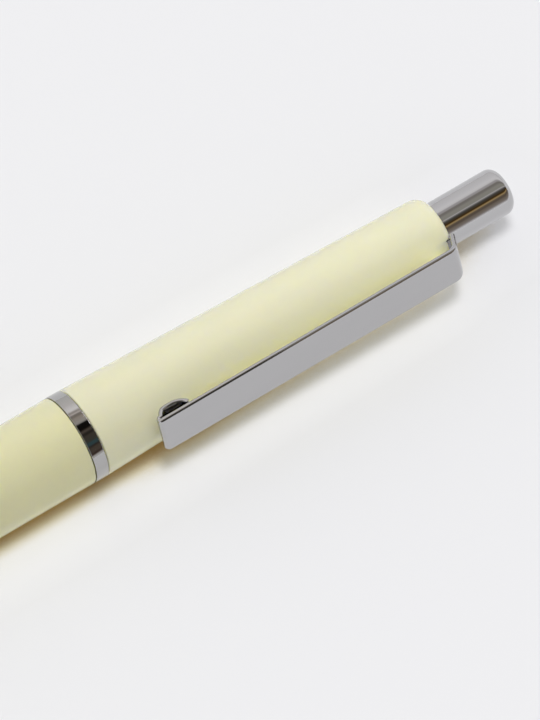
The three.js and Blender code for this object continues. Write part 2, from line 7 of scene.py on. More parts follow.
import bmesh
import bpy
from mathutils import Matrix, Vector


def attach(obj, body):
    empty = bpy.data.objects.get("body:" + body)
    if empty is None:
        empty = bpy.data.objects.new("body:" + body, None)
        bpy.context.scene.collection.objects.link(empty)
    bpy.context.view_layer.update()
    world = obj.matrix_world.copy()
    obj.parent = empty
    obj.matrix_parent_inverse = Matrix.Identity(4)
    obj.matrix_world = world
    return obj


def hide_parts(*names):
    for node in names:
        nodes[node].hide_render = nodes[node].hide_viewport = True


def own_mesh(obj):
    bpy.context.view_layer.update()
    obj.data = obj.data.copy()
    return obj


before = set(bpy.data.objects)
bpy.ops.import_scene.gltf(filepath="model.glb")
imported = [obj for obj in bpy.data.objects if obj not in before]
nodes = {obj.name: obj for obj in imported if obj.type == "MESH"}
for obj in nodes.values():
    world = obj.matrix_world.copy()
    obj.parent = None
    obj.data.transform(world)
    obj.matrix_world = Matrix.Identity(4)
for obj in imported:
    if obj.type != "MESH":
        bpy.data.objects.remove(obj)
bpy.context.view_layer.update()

MM = 0.001

# The pen's axis, in mm
AXIS_Y = 0.927
AXIS_Z = 5.479

# Stations along X, in mm, front to rear
NOSE_FRONT = -68.49
NOSE_REAR = -52.49
SPIGOT_REAR = -46.99
LOWER_STRAIGHT_FRONT = -34.49
LOWER_REAR = 9.51
RING_FRONT = 9.59
RING_REAR = 11.19
UPPER_FRONT = 11.27
SHOULDER_FRONT = 57.47
UPPER_REAR = 59.07
BUTTON_END = 68.49

# Outside radii, in mm
NOSE_POINT_RADIUS = 1.75
LOWER_FRONT_RADIUS = 4.75
BARREL_RADIUS = 5.46
RING_RADIUS = 5.5
UPPER_END_RADIUS = 4.1
BUTTON_RADIUS = 2.856

# Radii of the nose's spigot and of the upper barrel's mouth, in mm
SPIGOT_RADIUS = 3.75
MOUTH_RADIUS = 3.006

# Facets of the skins: sides round the axis, and angles in degrees above which an edge stays hard
ROUND_SIDES = 160
HARD_EDGE = 32
CUT_HARD_EDGE = 15
CLIP_HARD_EDGE = 50

# Points nearer than this are one, in metres
MERGE_DISTANCE = 1e-7


# Shapes

def quarter(start, end, along_x_first, steps):
    """Points of a quarter round from one (x, radius) point to the other, the first left out."""
    points = []
    for i in range(1, steps + 1):
        angle = math.pi / 2 * i / steps
        early = math.sin(angle)
        late = 1 - math.cos(angle)
        along_x, along_r = (early, late) if along_x_first else (late, early)
        points.append((start[0] + (end[0] - start[0]) * along_x,
                       start[1] + (end[1] - start[1]) * along_r))
    return points


def add_object(name, data):
    made = bpy.data.objects.new(name, data)
    bpy.context.scene.collection.objects.link(made)
    return made


def make_object(name, vertices, faces, hard_edge=HARD_EDGE):
    """A smooth-shaded object from points in mm, with its hard edges kept."""
    mesh = bpy.data.meshes.new(name)
    mesh.from_pydata([[v * MM for v in vertex] for vertex in vertices], [], faces)
    work = bmesh.new()
    work.from_mesh(mesh)
    bmesh.ops.remove_doubles(work, verts=work.verts, dist=MERGE_DISTANCE)
    bmesh.ops.recalc_face_normals(work, faces=work.faces)
    work.to_mesh(mesh)
    work.free()
    mesh.polygons.foreach_set("use_smooth", [True] * len(mesh.polygons))
    mesh.set_sharp_from_angle(angle=math.radians(hard_edge))
    return add_object(name, mesh)


def turned(name, outline, lift=None):
    """An outline of (x, radius) points in mm, closed on itself and turned about the pen's axis.
    lift(x, radius, angle) adds to a radius."""
    vertices = []
    for x, radius in outline:
        for side in range(ROUND_SIDES):
            angle = 2 * math.pi * side / ROUND_SIDES
            reach = radius + (lift(x, radius, angle) if lift else 0)
            vertices.append((x, AXIS_Y + reach * math.cos(angle), AXIS_Z + reach * math.sin(angle)))
    faces = []
    for row, (_, radius) in enumerate(outline):
        next_row = (row + 1) % len(outline)
        next_radius = outline[next_row][1]
        if radius == 0 and next_radius == 0:
            continue
        here = row * ROUND_SIDES
        there = next_row * ROUND_SIDES
        for side in range(ROUND_SIDES):
            after = (side + 1) % ROUND_SIDES
            corners = [here + side, here + after, there + after, there + side]
            if radius == 0:
                corners = [here, there + after, there + side]
            elif next_radius == 0:
                corners = [here + side, here + after, there]
            faces.append(corners)
    return make_object(name, vertices, faces)


def cut_with_block(target, along, depth, width, direction):
    """Cuts a block out of an object: its X span, how far it goes from the axis along a direction
    of the YZ plane, and its width, all in mm."""
    outward = Vector((0, *direction))
    across = Vector((0, -direction[1], direction[0]))
    centre = Vector((0, AXIS_Y, AXIS_Z))
    corners = [centre + Vector((x, 0, 0)) + outward * reach + across * side
               for x in along for reach in (0, depth) for side in (-width / 2, width / 2)]
    faces = [(0, 1, 3, 2), (4, 6, 7, 5), (0, 4, 5, 1), (2, 3, 7, 6), (0, 2, 6, 4), (1, 5, 7, 3)]
    block = make_object("cutting_block", corners, faces)
    cutter = target.modifiers.new("cut", "BOOLEAN")
    cutter.operation = "DIFFERENCE"
    cutter.solver = "EXACT"
    cutter.object = block
    evaluated = target.evaluated_get(bpy.context.evaluated_depsgraph_get())
    cut_mesh = bpy.data.meshes.new_from_object(evaluated)
    target.modifiers.clear()
    target.data = cut_mesh
    bpy.data.objects.remove(block)
    cut_mesh.set_sharp_from_angle(angle=math.radians(CUT_HARD_EDGE))


def dress(piece, body, material, replaced):
    """Gives a piece its body and its finish, and hides the node that it stands for."""
    piece.data.materials.clear()
    piece.data.materials.append(material)
    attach(piece, body)
    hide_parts(replaced)
    return piece


# Node tools for the materials

PLASTIC_IOR = 1.49
CLOUD_STRETCH = (0.22, 1, 1)
SMUDGE_SCALE = 420
NOISE_MIDDLE = 0.5

# Heights of the skin of plastic and of the scratches in metal, in mm
PLASTIC_RELIEF = 0.004
METAL_RELIEF = 0.002


def new_material(name):
    material = bpy.data.materials.new(name)
    material.use_nodes = True
    tree = material.node_tree
    return material, tree, tree.nodes["Principled BSDF"]


def add_node(tree, kind, **settings):
    made = tree.nodes.new(kind)
    for key, value in settings.items():
        setattr(made, key, value)
    return made


def set_stops(ramp, rows):
    """Gives a colour ramp its stops, which are (place, colour) rows."""
    stops = ramp.color_ramp.elements
    while len(stops) < len(rows):
        stops.new(1)
    for stop, (place, colour) in zip(stops, rows):
        stop.position = place
        stop.color = (*colour, 1)


def new_group(name, inputs, outputs):
    """A shader node group. inputs are (name, socket type, default) rows, outputs are the first two."""
    group = bpy.data.node_groups.new(name, "ShaderNodeTree")
    for label, kind, default in inputs:
        socket = group.interface.new_socket(label, in_out="INPUT", socket_type=kind)
        socket.default_value = default
    for label, kind in outputs:
        group.interface.new_socket(label, in_out="OUTPUT", socket_type=kind)
    entry = group.nodes.new("NodeGroupInput")
    leave = group.nodes.new("NodeGroupOutput")
    return group, entry, leave


def use_group(tree, group, **values):
    """A group's node in a tree, with the values of its inputs. Spaces in their names are _ here."""
    made = add_node(tree, "ShaderNodeGroup", node_tree=group)
    for label, value in values.items():
        made.inputs[label.replace("_", " ")].default_value = value
    return made


def make_mottle_group():
    """Soft cloudy change of colour, drawn out along the pen, and a fine skin height."""
    group, entry, leave = new_group(
        "Mottle",
        [("Colour", "NodeSocketColor", (1, 1, 1, 1)),
         ("Second Colour", "NodeSocketColor", (1, 1, 1, 1)),
         ("Cloud Scale", "NodeSocketFloat", 200.0),
         ("Cloud Share", "NodeSocketFloat", 0.3),
         ("Skin Scale", "NodeSocketFloat", 2500.0)],
        [("Colour", "NodeSocketColor"), ("Skin", "NodeSocketFloat")])
    place = add_node(group, "ShaderNodeTexCoord")
    stretch = add_node(group, "ShaderNodeMapping")
    stretch.inputs["Scale"].default_value = CLOUD_STRETCH
    cloud = add_node(group, "ShaderNodeTexNoise")
    cloud.inputs["Detail"].default_value = 3
    share = add_node(group, "ShaderNodeMath", operation="MULTIPLY")
    blend = add_node(group, "ShaderNodeMix", data_type="RGBA")
    skin = add_node(group, "ShaderNodeTexNoise")
    skin.inputs["Detail"].default_value = 2
    link = group.links.new
    link(place.outputs["Object"], stretch.inputs["Vector"])
    link(stretch.outputs["Vector"], cloud.inputs["Vector"])
    link(entry.outputs["Cloud Scale"], cloud.inputs["Scale"])
    link(cloud.outputs["Fac"], share.inputs[0])
    link(entry.outputs["Cloud Share"], share.inputs[1])
    link(share.outputs["Value"], blend.inputs["Factor"])
    link(entry.outputs["Colour"], blend.inputs["A"])
    link(entry.outputs["Second Colour"], blend.inputs["B"])
    link(blend.outputs["Result"], leave.inputs["Colour"])
    link(place.outputs["Object"], skin.inputs["Vector"])
    link(entry.outputs["Skin Scale"], skin.inputs["Scale"])
    link(skin.outputs["Fac"], leave.inputs["Skin"])
    return group


def make_fine_wear_group():
    """Hairline scratches and faint smudges of a handled metal: a roughness and a height."""
    group, entry, leave = new_group(
        "Fine Wear",
        [("Base Roughness", "NodeSocketFloat", 0.08),
         ("Smudge", "NodeSocketFloat", 0.05),
         ("Stretch", "NodeSocketVector", (0.15, 1.0, 1.0)),
         ("Scratch Scale", "NodeSocketFloat", 3000.0)],
        [("Roughness", "NodeSocketFloat"), ("Height", "NodeSocketFloat")])
    place = add_node(group, "ShaderNodeTexCoord")
    smudge = add_node(group, "ShaderNodeTexNoise")
    smudge.inputs["Scale"].default_value = SMUDGE_SCALE
    smudge.inputs["Detail"].default_value = 4
    centred = add_node(group, "ShaderNodeMath", operation="SUBTRACT")
    centred.inputs[1].default_value = NOISE_MIDDLE
    amount = add_node(group, "ShaderNodeMath", operation="MULTIPLY_ADD")
    stretched = add_node(group, "ShaderNodeVectorMath", operation="MULTIPLY")
    scratch = add_node(group, "ShaderNodeTexNoise")
    scratch.inputs["Detail"].default_value = 5
    link = group.links.new
    link(place.outputs["Object"], smudge.inputs["Vector"])
    link(smudge.outputs["Fac"], centred.inputs[0])
    link(centred.outputs["Value"], amount.inputs[0])
    link(entry.outputs["Smudge"], amount.inputs[1])
    link(entry.outputs["Base Roughness"], amount.inputs[2])
    link(amount.outputs["Value"], leave.inputs["Roughness"])
    link(place.outputs["Object"], stretched.inputs[0])
    link(entry.outputs["Stretch"], stretched.inputs[1])
    link(stretched.outputs["Vector"], scratch.inputs["Vector"])
    link(entry.outputs["Scratch Scale"], scratch.inputs["Scale"])
    link(scratch.outputs["Fac"], leave.inputs["Height"])
    return group


mottle = make_mottle_group()
fine_wear = make_fine_wear_group()


def add_bump(tree, shader, height_socket, strength, distance_mm):
    bump = add_node(tree, "ShaderNodeBump")
    bump.inputs["Strength"].default_value = strength
    bump.inputs["Distance"].default_value = distance_mm * MM
    tree.links.new(height_socket, bump.inputs["Height"])
    tree.links.new(bump.outputs["Normal"], shader.inputs["Normal"])


def make_plastic(name, colour, second_colour, roughness, skin_strength, glow_reach=None):
    """Moulded plastic. Where glow_reach is given, light goes in under the skin, that far in mm."""
    material, tree, shader = new_material(name)
    clouds = use_group(tree, mottle, Colour=(*colour, 1), Second_Colour=(*second_colour, 1),
                       Cloud_Scale=260.0, Cloud_Share=0.9, Skin_Scale=2600.0)
    wear = use_group(tree, fine_wear, Base_Roughness=roughness, Smudge=roughness * 0.5,
                     Stretch=(0.3, 1.0, 1.0), Scratch_Scale=1800.0)
    tree.links.new(clouds.outputs["Colour"], shader.inputs["Base Color"])
    tree.links.new(wear.outputs["Roughness"], shader.inputs["Roughness"])
    shader.inputs["IOR"].default_value = PLASTIC_IOR
    if glow_reach:
        shader.subsurface_method = "RANDOM_WALK"
        shader.inputs["Subsurface Weight"].default_value = 1
        shader.inputs["Subsurface Radius"].default_value = glow_reach
        shader.inputs["Subsurface Scale"].default_value = MM
    add_bump(tree, shader, clouds.outputs["Skin"], skin_strength, PLASTIC_RELIEF)
    return material


def make_metal(name, colour, second_colour, roughness, smudge, scratch_strength, stretch=(1, 1, 1)):
    """Bare or plated metal with smudges and fine scratches, which stretch draws out."""
    material, tree, shader = new_material(name)
    clouds = use_group(tree, mottle, Colour=(*colour, 1), Second_Colour=(*second_colour, 1),
                       Cloud_Scale=500.0, Cloud_Share=0.8, Skin_Scale=4000.0)
    wear = use_group(tree, fine_wear, Base_Roughness=roughness, Smudge=smudge,
                     Stretch=stretch, Scratch_Scale=4200.0)
    tree.links.new(clouds.outputs["Colour"], shader.inputs["Base Color"])
    tree.links.new(wear.outputs["Roughness"], shader.inputs["Roughness"])
    shader.inputs["Metallic"].default_value = 1
    add_bump(tree, shader, wear.outputs["Height"], scratch_strength, METAL_RELIEF)
    return material


ivory = make_plastic("ivory_plastic", (0.82, 0.805, 0.50), (0.83, 0.79, 0.48),
                     roughness=0.09, skin_strength=0.03, glow_reach=(0.35, 0.33, 0.16))
upper_ivory = make_plastic("upper_ivory_plastic", (0.868, 0.854, 0.596), (0.878, 0.844, 0.576),
                           roughness=0.09, skin_strength=0.03, glow_reach=(0.35, 0.33, 0.19))
# Three copies of one chrome plate, painted brighter toward the pen's rear to stand for the lighter
# reflections there: the nose and ring's, the clip's, then the button's
chrome = make_metal("chrome_plate", (0.455, 0.45, 0.445), (0.44, 0.435, 0.43),
                    roughness=0.045, smudge=0.02, scratch_strength=0.02)
clip_chrome_painted_brighter = make_metal("clip_chrome_painted_brighter", (0.49, 0.485, 0.49), (0.47, 0.465, 0.47),
                         roughness=0.09, smudge=0.04, scratch_strength=0.04)
button_chrome_painted_brighter = make_metal("button_chrome_painted_brighter", (0.52, 0.515, 0.52), (0.505, 0.50, 0.505),
                           roughness=0.03, smudge=0.015, scratch_strength=0.02)
brass = make_metal("turned_brass", (0.68, 0.49, 0.22), (0.60, 0.42, 0.18),
                   roughness=0.22, smudge=0.10, scratch_strength=0.15, stretch=(6, 1, 1))
steel = make_metal("drawn_steel", (0.50, 0.50, 0.51), (0.42, 0.42, 0.44),
                   roughness=0.26, smudge=0.10, scratch_strength=0.15, stretch=(0.1, 1, 1))
ball_metal = make_metal("ground_ball", (0.30, 0.30, 0.32), (0.24, 0.24, 0.26),
                        roughness=0.15, smudge=0.05, scratch_strength=0.05)
black_plastic = make_plastic("black_plastic", (0.022, 0.022, 0.024), (0.03, 0.03, 0.032),
                             roughness=0.38, skin_strength=0.2)
white_plastic = make_plastic("white_plastic", (0.78, 0.78, 0.75), (0.74, 0.74, 0.70),
                             roughness=0.42, skin_strength=0.15)
ink = make_plastic("ink_paste", (0.008, 0.014, 0.10), (0.012, 0.02, 0.14),
                   roughness=0.2, skin_strength=0.05)
grease = make_plastic("clear_grease", (0.70, 0.64, 0.38), (0.62, 0.56, 0.32),
                      roughness=0.2, skin_strength=0.05)

# Nose cone and lower barrel

NOSE_CURVE = 1.5
TIP_ROOM = 1.3
SPRING_ROOM = 2.32
SPRING_SEAT = -63.69
REFILL_ROOM = 3.1
REFILL_ROOM_FRONT = -60.49
POINT_ROUND = 0.12
POINT_STEPS = 5
NOSE_STEPS = 48


def nose_outline():
    round_start = (NOSE_FRONT, NOSE_POINT_RADIUS - POINT_ROUND)
    outline = [(NOSE_FRONT, TIP_ROOM), round_start]
    outline += quarter(round_start, (NOSE_FRONT + POINT_ROUND, NOSE_POINT_RADIUS), False, POINT_STEPS)
    for i in range(1, NOSE_STEPS + 1):
        along = i / NOSE_STEPS
        x = NOSE_FRONT + (NOSE_REAR - NOSE_FRONT) * along
        rise = 1 - (1 - along) ** NOSE_CURVE
        if x > NOSE_FRONT + POINT_ROUND:
            outline.append((x, NOSE_POINT_RADIUS + (LOWER_FRONT_RADIUS - NOSE_POINT_RADIUS) * rise))
    outline += [(NOSE_REAR, SPIGOT_RADIUS), (SPIGOT_REAR, SPIGOT_RADIUS), (SPIGOT_REAR, REFILL_ROOM),
                (REFILL_ROOM_FRONT, REFILL_ROOM), (REFILL_ROOM_FRONT, SPRING_ROOM),
                (SPRING_SEAT, SPRING_ROOM), (SPRING_SEAT, TIP_ROOM)]
    return outline


EDGE_ROUND = 0.15
EDGE_STEPS = 8
FRONT_CHAMFER = 0.05
FRONT_SPIGOT_BORE = 3.8
LOWER_BORE = 4.15
SPIGOT_ROOM_REAR = -46.79


def lower_outline():
    round_start = (LOWER_REAR - EDGE_ROUND, BARREL_RADIUS)
    outline = [(NOSE_REAR, FRONT_SPIGOT_BORE), (NOSE_REAR, LOWER_FRONT_RADIUS - FRONT_CHAMFER),
               (NOSE_REAR + FRONT_CHAMFER, LOWER_FRONT_RADIUS), (LOWER_STRAIGHT_FRONT, BARREL_RADIUS),
               round_start]
    outline += quarter(round_start, (LOWER_REAR, BARREL_RADIUS - EDGE_ROUND), True, EDGE_STEPS)
    outline += [(LOWER_REAR, LOWER_BORE), (SPIGOT_ROOM_REAR, LOWER_BORE),
                (SPIGOT_ROOM_REAR, FRONT_SPIGOT_BORE)]
    return outline


dress(turned("nose_cone_skin", nose_outline()), "front_half", chrome, "nose_cone")
dress(turned("lower_barrel_skin", lower_outline()), "front_half", ivory,
      "lower_barrel")

# Centre ring

RING_BORE = 4.25
RIM_ROUND = 0.075
RIM_STEPS = 6


def ring_outline():
    front_start = (RING_FRONT, RING_RADIUS - RIM_ROUND)
    rear_start = (RING_REAR - RIM_ROUND, RING_RADIUS)
    outline = [(RING_FRONT, RING_BORE), front_start]
    outline += quarter(front_start, (RING_FRONT + RIM_ROUND, RING_RADIUS), False, RIM_STEPS)
    outline.append(rear_start)
    outline += quarter(rear_start, (RING_REAR, RING_RADIUS - RIM_ROUND), True, RIM_STEPS)
    outline.append((RING_REAR, RING_BORE))
    return outline


ring_skin = dress(turned("centre_ring_skin", ring_outline()), "ring", chrome, "centre_ring")

# Upper barrel, with the notch and keyway for the clip's foot

THREAD_ROOM_FRONT = 11.67
THREAD_ROOM_REAR = 18.47
THREAD_RIDGE = 3.92
THREAD_GROOVE = 4.22
THREAD_PITCH = 1.0
THREAD_STEPS = 80
MECHANISM_BORE = 3.906
BORE_STEP = 43.37
BUSH_SEAT = 3.496
LIP_FRONT = 57.97
CLIP_ROLL = math.radians(19.5)
CLIP_WAY = (-math.cos(CLIP_ROLL), math.sin(CLIP_ROLL))
FOOT_SLOT_WIDTH = 2.2
FOOT_SLOT_REACH = 3.836
FOOT_SLOT_FRONT = 56.42
NOTCH_FRONT = 58.29
SHOULDER_STEPS = 16

# The thread's groove, in shares of its pitch: half its floor, and each of its flanks
GROOVE_FLOOR = 0.12
GROOVE_FLANK = 0.2

# How far the cuts run on behind the barrel, in mm
CUT_OVERRUN = 1


def upper_outline():
    front_start = (UPPER_FRONT, BARREL_RADIUS - EDGE_ROUND)
    shoulder_start = (SHOULDER_FRONT, UPPER_END_RADIUS)
    outline = [(UPPER_FRONT, RING_BORE), front_start]
    outline += quarter(front_start, (UPPER_FRONT + EDGE_ROUND, BARREL_RADIUS), False, EDGE_STEPS)
    outline.append(shoulder_start)
    outline += quarter(shoulder_start, (UPPER_REAR, MOUTH_RADIUS), True, SHOULDER_STEPS)
    outline += [(LIP_FRONT, MOUTH_RADIUS), (LIP_FRONT, BUSH_SEAT), (BORE_STEP, BUSH_SEAT),
                (BORE_STEP, MECHANISM_BORE), (THREAD_ROOM_REAR, MECHANISM_BORE)]
    for i in range(THREAD_STEPS + 1):
        x = THREAD_ROOM_REAR + (THREAD_ROOM_FRONT - THREAD_ROOM_REAR) * i / THREAD_STEPS
        outline.append((x, THREAD_RIDGE))
    outline.append((THREAD_ROOM_FRONT, RING_BORE))
    return outline


def thread_lift(x, radius, angle):
    """The groove of the thread, deepest once a pitch, on the rows of the threaded room."""
    if radius != THREAD_RIDGE:
        return 0
    turn = ((x - UPPER_FRONT) / THREAD_PITCH - angle / (2 * math.pi)) % 1
    slope = min(1, max(0, (abs(turn - 0.5) - GROOVE_FLOOR) / GROOVE_FLANK))
    return (THREAD_GROOVE - THREAD_RIDGE) * (1 - slope)


upper_skin = turned("upper_barrel_skin", upper_outline(), thread_lift)
for cut_front, cut_depth in ((FOOT_SLOT_FRONT, FOOT_SLOT_REACH), (NOTCH_FRONT, UPPER_END_RADIUS)):
    cut_with_block(upper_skin, (cut_front, UPPER_REAR + CUT_OVERRUN), cut_depth,
                   FOOT_SLOT_WIDTH, CLIP_WAY)
dress(upper_skin, "rear_half", upper_ivory, "upper_barrel")

# Clip: one strip, from its foot in the mouth round the root bend, along the arm and back in the loop

CLIP_TIP = 17.83
CLIP_ROOT_REAR = 58.55
CLIP_HEIGHT = 6.94
CLIP_WIDTH = 4.74
CLIP_THICKNESS = 0.58
CLIP_CORNER = 0.65
CLIP_OUTER_ROUND = 0.28
CLIP_INNER_ROUND = 0.16
ROOT_BEND = 1.3
FOOT_BEND = 0.34
FOOT_FRONT = 56.62
FOOT_INNER = 3.056
FOOT_WIDTH = 1.9
LEG_WIDTH = 3.5
LEG_END = 3.786
LEG_LEAN = 0.85
LOOP_LENGTH = 4.35
LOOP_BEND = 0.32
LOOP_FOLD = 250
LOOP_SHAPE = ((0.28, 0.92), (0.46, 1.0), (0.68, 0.99), (0.89, 0.8))
LOOP_END_SHARE = 0.97
LOOP_GAP = 0.05

# Steps of the clip: round its bends, along its arm and its loop, and across its section
FOOT_BEND_STEPS = 12
ROOT_BEND_STEPS = 20
ARM_STEPS = 24
FOLD_STEPS = 16
LOOP_STEPS = 10
CORNER_STEPS = 6
FACE_STEPS = 8


def barrel_radius_at(x):
    along = (x - UPPER_FRONT) / (SHOULDER_FRONT - UPPER_FRONT)
    return BARREL_RADIUS + (UPPER_END_RADIUS - BARREL_RADIUS) * min(along, 1)


LOOP_SEAT = barrel_radius_at(CLIP_TIP + LOOP_LENGTH / 2) + LOOP_GAP


def arc(x, y, radius, start, end, steps):
    """Points of an arc round (x, y), from one angle in degrees to another."""
    points = []
    for i in range(steps + 1):
        angle = math.radians(start + (end - start) * i / steps)
        points.append((x + radius * math.cos(angle), y + radius * math.sin(angle)))
    return points


def curve_at(a, b, c, d, t):
    """A Catmull-Rom curve's value between b and c."""
    bend = 2 * a - 5 * b + 4 * c - d
    twist = 3 * b - a - 3 * c + d
    return 0.5 * (2 * b + (c - a) * t + bend * t * t + twist * t ** 3)


def smooth_line(points, steps):
    """A Catmull-Rom curve through the points."""
    line = []
    last = len(points) - 1
    for i in range(last):
        near = [points[min(max(i + k, 0), last)] for k in (-1, 0, 1, 2)]
        for step in range(steps):
            line.append(tuple(curve_at(*values, step / steps) for values in zip(*near)))
    line.append(points[-1])
    return line


def clip_line():
    """The strip's middle line in its own side view, x along the pen and y out from the axis, and
    where in it the loop starts."""
    half = CLIP_THICKNESS / 2
    arm = CLIP_HEIGHT - half
    foot = FOOT_INNER + half
    root_x = CLIP_ROOT_REAR - half - ROOT_BEND
    foot_x = CLIP_ROOT_REAR - half + LEG_LEAN - FOOT_BEND
    depth = arm - half - LOOP_SEAT
    rise = arm - ROOT_BEND - foot - FOOT_BEND
    run = foot_x - root_x
    leg_way = math.acos((ROOT_BEND - FOOT_BEND) / math.hypot(run, rise)) - math.atan2(rise, run)
    lean = math.degrees(leg_way)
    fold_x = CLIP_TIP + half + LOOP_BEND
    line = [(FOOT_FRONT, foot)]
    line += arc(foot_x, foot + FOOT_BEND, FOOT_BEND, -90, lean, FOOT_BEND_STEPS)
    line += arc(root_x, arm - ROOT_BEND, ROOT_BEND, lean, 90, ROOT_BEND_STEPS)
    line += [(root_x + (fold_x - root_x) * i / ARM_STEPS, arm) for i in range(1, ARM_STEPS)]
    line += arc(fold_x, arm - LOOP_BEND, LOOP_BEND, 90, LOOP_FOLD, FOLD_STEPS)
    loop_start = len(line)
    loop = [(fold_x, arm - 2 * LOOP_BEND)]
    loop += [(CLIP_TIP + LOOP_LENGTH * along, arm - depth * down) for along, down in LOOP_SHAPE]
    loop.append((CLIP_TIP + LOOP_LENGTH, arm - CLIP_THICKNESS * LOOP_END_SHARE))
    line += smooth_line(loop, LOOP_STEPS)[1:]
    return line, loop_start


def clip_half_width(x, y):
    """Half the strip's width: rounded corners at the tip, and a leg that narrows to the foot."""
    half = CLIP_WIDTH / 2
    from_tip = x - CLIP_TIP
    if from_tip < CLIP_CORNER:
        reach = CLIP_CORNER - max(from_tip, 0.0)
        return half - CLIP_CORNER + math.sqrt(max(CLIP_CORNER ** 2 - reach ** 2, 0))
    leg_top = CLIP_HEIGHT - CLIP_THICKNESS / 2
    if x < (CLIP_TIP + CLIP_ROOT_REAR) / 2 or y >= leg_top:
        return half
    if y <= LEG_END:
        return FOOT_WIDTH / 2
    shoulder = leg_top - 2 * CLIP_CORNER
    if y > shoulder:
        return half - CLIP_CORNER / 2 * (leg_top - y) / (2 * CLIP_CORNER)
    share = (shoulder - y) / (shoulder - LEG_END)
    return half - CLIP_CORNER / 2 + (LEG_WIDTH / 2 - half + CLIP_CORNER / 2) * share


def strip_section(width, half):
    """Points (w, t) round the strip's section, its corners rounded. The inner face is at +t."""
    points = []
    for sign, edge_round in ((1, CLIP_INNER_ROUND), (-1, CLIP_OUTER_ROUND)):
        corner = []
        for i in range(CORNER_STEPS + 1):
            angle = math.pi / 2 * i / CORNER_STEPS
            corner.append((width - edge_round * (1 - math.cos(angle)),
                           half - edge_round * (1 - math.sin(angle))))
        flat = width - edge_round
        between = [(flat * (1 - 2 * i / FACE_STEPS), half) for i in range(1, FACE_STEPS)]
        far_corner = [(-w, t) for w, t in reversed(corner)]
        points += [(sign * w, sign * t) for w, t in corner + between + far_corner]
    return points


def make_clip():
    line, loop_start = clip_line()
    half = CLIP_THICKNESS / 2
    out_way = Vector((0, *CLIP_WAY))
    across = Vector((0, CLIP_WAY[1], -CLIP_WAY[0]))
    centre = Vector((0, AXIS_Y, AXIS_Z))
    fold_level = CLIP_HEIGHT - half - 2 * LOOP_BEND
    seat_level = half + LOOP_SEAT
    vertices = []
    for i, (x, y) in enumerate(line):
        before, after = line[max(i - 1, 0)], line[min(i + 1, len(line) - 1)]
        along = Vector((after[0] - before[0], after[1] - before[1])).normalized()
        normal = Vector((-along.y, along.x))
        curved = 0 if i < loop_start else min(1, max(0, (fold_level - y) / (fold_level - seat_level)))
        section = strip_section(clip_half_width(x, y), half)
        for w, t in section:
            drop = curved * (LOOP_SEAT - math.sqrt(LOOP_SEAT ** 2 - w ** 2))
            place = centre + Vector((x + normal.x * t, 0, 0))
            vertices.append(place + out_way * (y + normal.y * t - drop) + across * w)
    size = len(section)
    last = (len(line) - 1) * size
    faces = []
    for here in range(0, last, size):
        there = here + size
        for side in range(size):
            after = (side + 1) % size
            faces.append((here + side, here + after, there + after, there + side))
    faces.append(tuple(reversed(range(size))))
    faces.append(tuple(last + side for side in range(size)))
    clip = make_object("clip_strip", vertices, faces, CLIP_HARD_EDGE)
    weighted = clip.modifiers.new("flat faces stay flat", "WEIGHTED_NORMAL")
    weighted.keep_sharp = True
    return clip


clip_skin = dress(make_clip(), "clip", clip_chrome_painted_brighter, "clip")

# Push button: a drawn shell with a rounded end

BUTTON_EDGE = 1.25
BUTTON_EDGE_STEPS = 20
BUTTON_DOME = 0.12
BUTTON_FLAT = 0.88
BUTTON_BORE = 2.556
FLANGE_FRONT = 49.42
FLANGE_REAR = 50.02
FLANGE_RADIUS = 3.346


def button_outline():
    round_front = BUTTON_END - BUTTON_EDGE
    round_start = (round_front - BUTTON_DOME, BUTTON_RADIUS)
    round_end = (BUTTON_END - BUTTON_DOME, BUTTON_RADIUS - BUTTON_EDGE)
    outline = [(round_front, 0), (round_front, BUTTON_BORE), (FLANGE_FRONT, BUTTON_BORE),
               (FLANGE_FRONT, FLANGE_RADIUS), (FLANGE_REAR, FLANGE_RADIUS),
               (FLANGE_REAR, BUTTON_RADIUS), round_start]
    outline += quarter(round_start, round_end, True, BUTTON_EDGE_STEPS)
    outline += [(BUTTON_END, BUTTON_FLAT), (BUTTON_END, 0)]
    return outline


dress(turned("push_button_skin", button_outline()), "button", button_chrome_painted_brighter, "push_button")

# Return spring, which the refill presses together as it goes forward, as its own copy of the packed
# node's mesh

spring = add_object("spring_skin", nodes["return_spring"].data.copy())
dress(spring, "front_half", steel, "return_spring")
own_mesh(spring)

# Finishes of the nodes that stay as they are packed

INNER_FINISHES = (
    ("barrel_coupler", black_plastic), ("mouth_bush", brass), ("button_core", black_plastic),
    ("cam_sleeve", white_plastic), ("cam_rotor", white_plastic), ("refill_tube", steel),
    ("refill_nozzle", brass), ("writing_tip", steel), ("writing_ball", ball_metal),
    ("ink_column", ink), ("ink_follower", grease), ("refill_plug", white_plastic))

for node_name, material in INNER_FINISHES:
    for material_place in nodes[node_name].material_slots:
        material_place.material = material

# Floor

WHITE = 0.855
FLOOR_HALF = 1.5

# Painted shade on the floor close to the pen, warm as if it were light thrown off the ivory, with a
# painted brightening just beyond it: how open a place is, and its tint there
PAINTED_SHADE_REACH = 8
PAINTED_SHADE_SAMPLES = 16
PAINTED_SHADE_TINTS = ((0.30, (0.62, 0.40, 0.15)), (0.43, (0.88, 0.79, 0.56)), (0.50, (1.02, 0.99, 0.91)),
              (0.56, (1.10, 1.10, 1.10)), (0.75, (1.08, 1.08, 1.09)), (1.0, (1.0, 1.0, 1.0)))


